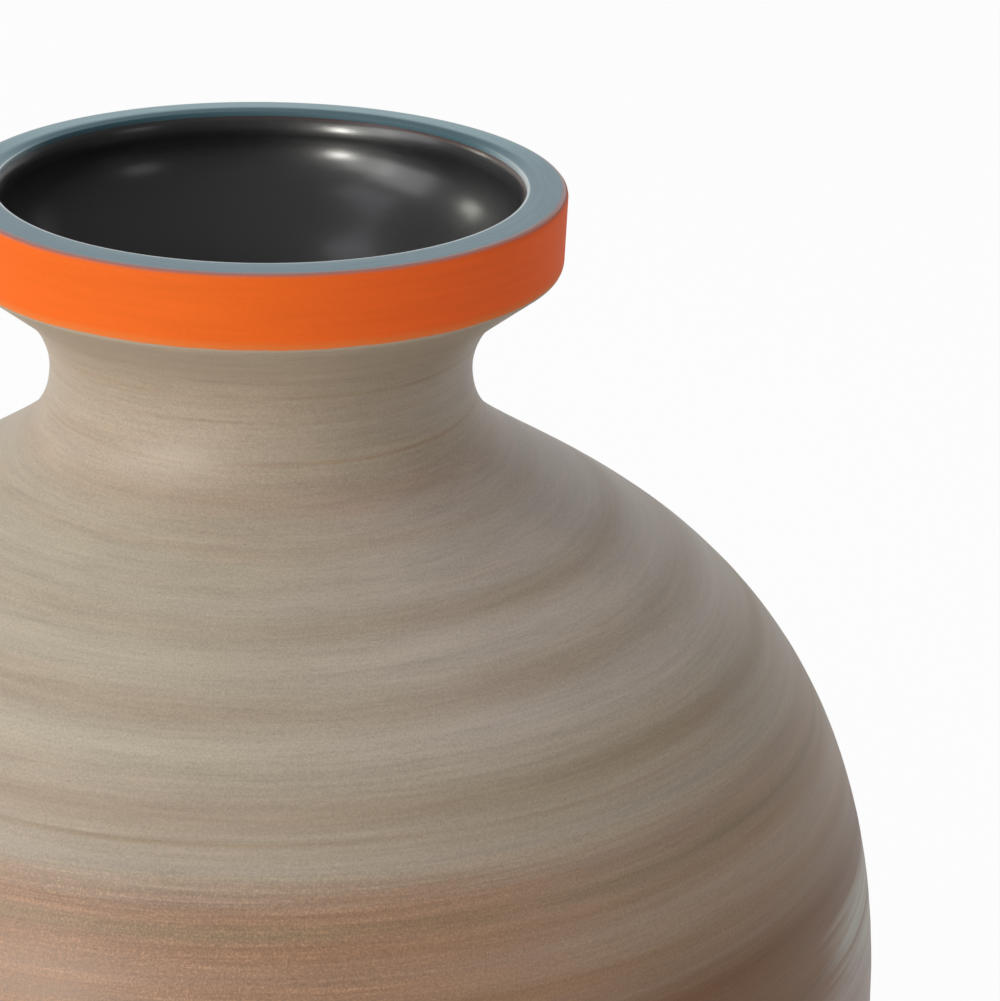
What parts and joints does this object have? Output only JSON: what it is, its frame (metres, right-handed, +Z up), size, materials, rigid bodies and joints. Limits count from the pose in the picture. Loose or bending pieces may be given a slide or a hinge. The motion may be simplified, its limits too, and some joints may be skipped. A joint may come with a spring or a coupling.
{
  "type": "hydria jar",
  "caption": "Wide high-shouldered ceramic jar with a flanged flat-lipped rim, narrow neck and ring foot, open at the mouth for water, stems or display.",
  "frame": {"origin": "centre of the plane that the foot ring rests on", "axes": "+Z up along the jar's axis of turning; the jar is round, so +X and +Y are free"},
  "size_m": [0.3839, 0.3839, 0.47],
  "materials": {
    "bare_clay": "unglazed fired clay, matte",
    "luting_slip": "fired joining slip, matte",
    "umber_slip": "brushed umber slip with a soft sheen",
    "rust_slip": "brushed rust and buff slip with a soft sheen",
    "buff_slip": "brushed buff slip with a soft sheen",
    "orange_paint": "smooth satin orange coat",
    "blue_grey_paint": "brushed matte blue-grey coat",
    "black_glaze": "semi-gloss black glaze"
  },
  "bodies": {
    "root": {"foot_ring": "bare_clay", "foot_seam": "luting_slip", "base": "umber_slip", "base_seam": "luting_slip", "lower_belly": "umber_slip", "belly_seam": "luting_slip", "upper_belly": "rust_slip", "shoulder_seam": "luting_slip", "shoulder": "buff_slip", "neck_seam": "luting_slip", "neck": "buff_slip", "rim_seam": "luting_slip", "rim": "buff_slip", "orange_band": "orange_paint", "lip_paint": "blue_grey_paint", "glaze_lining": "black_glaze"}
  },
  "joints": []
}
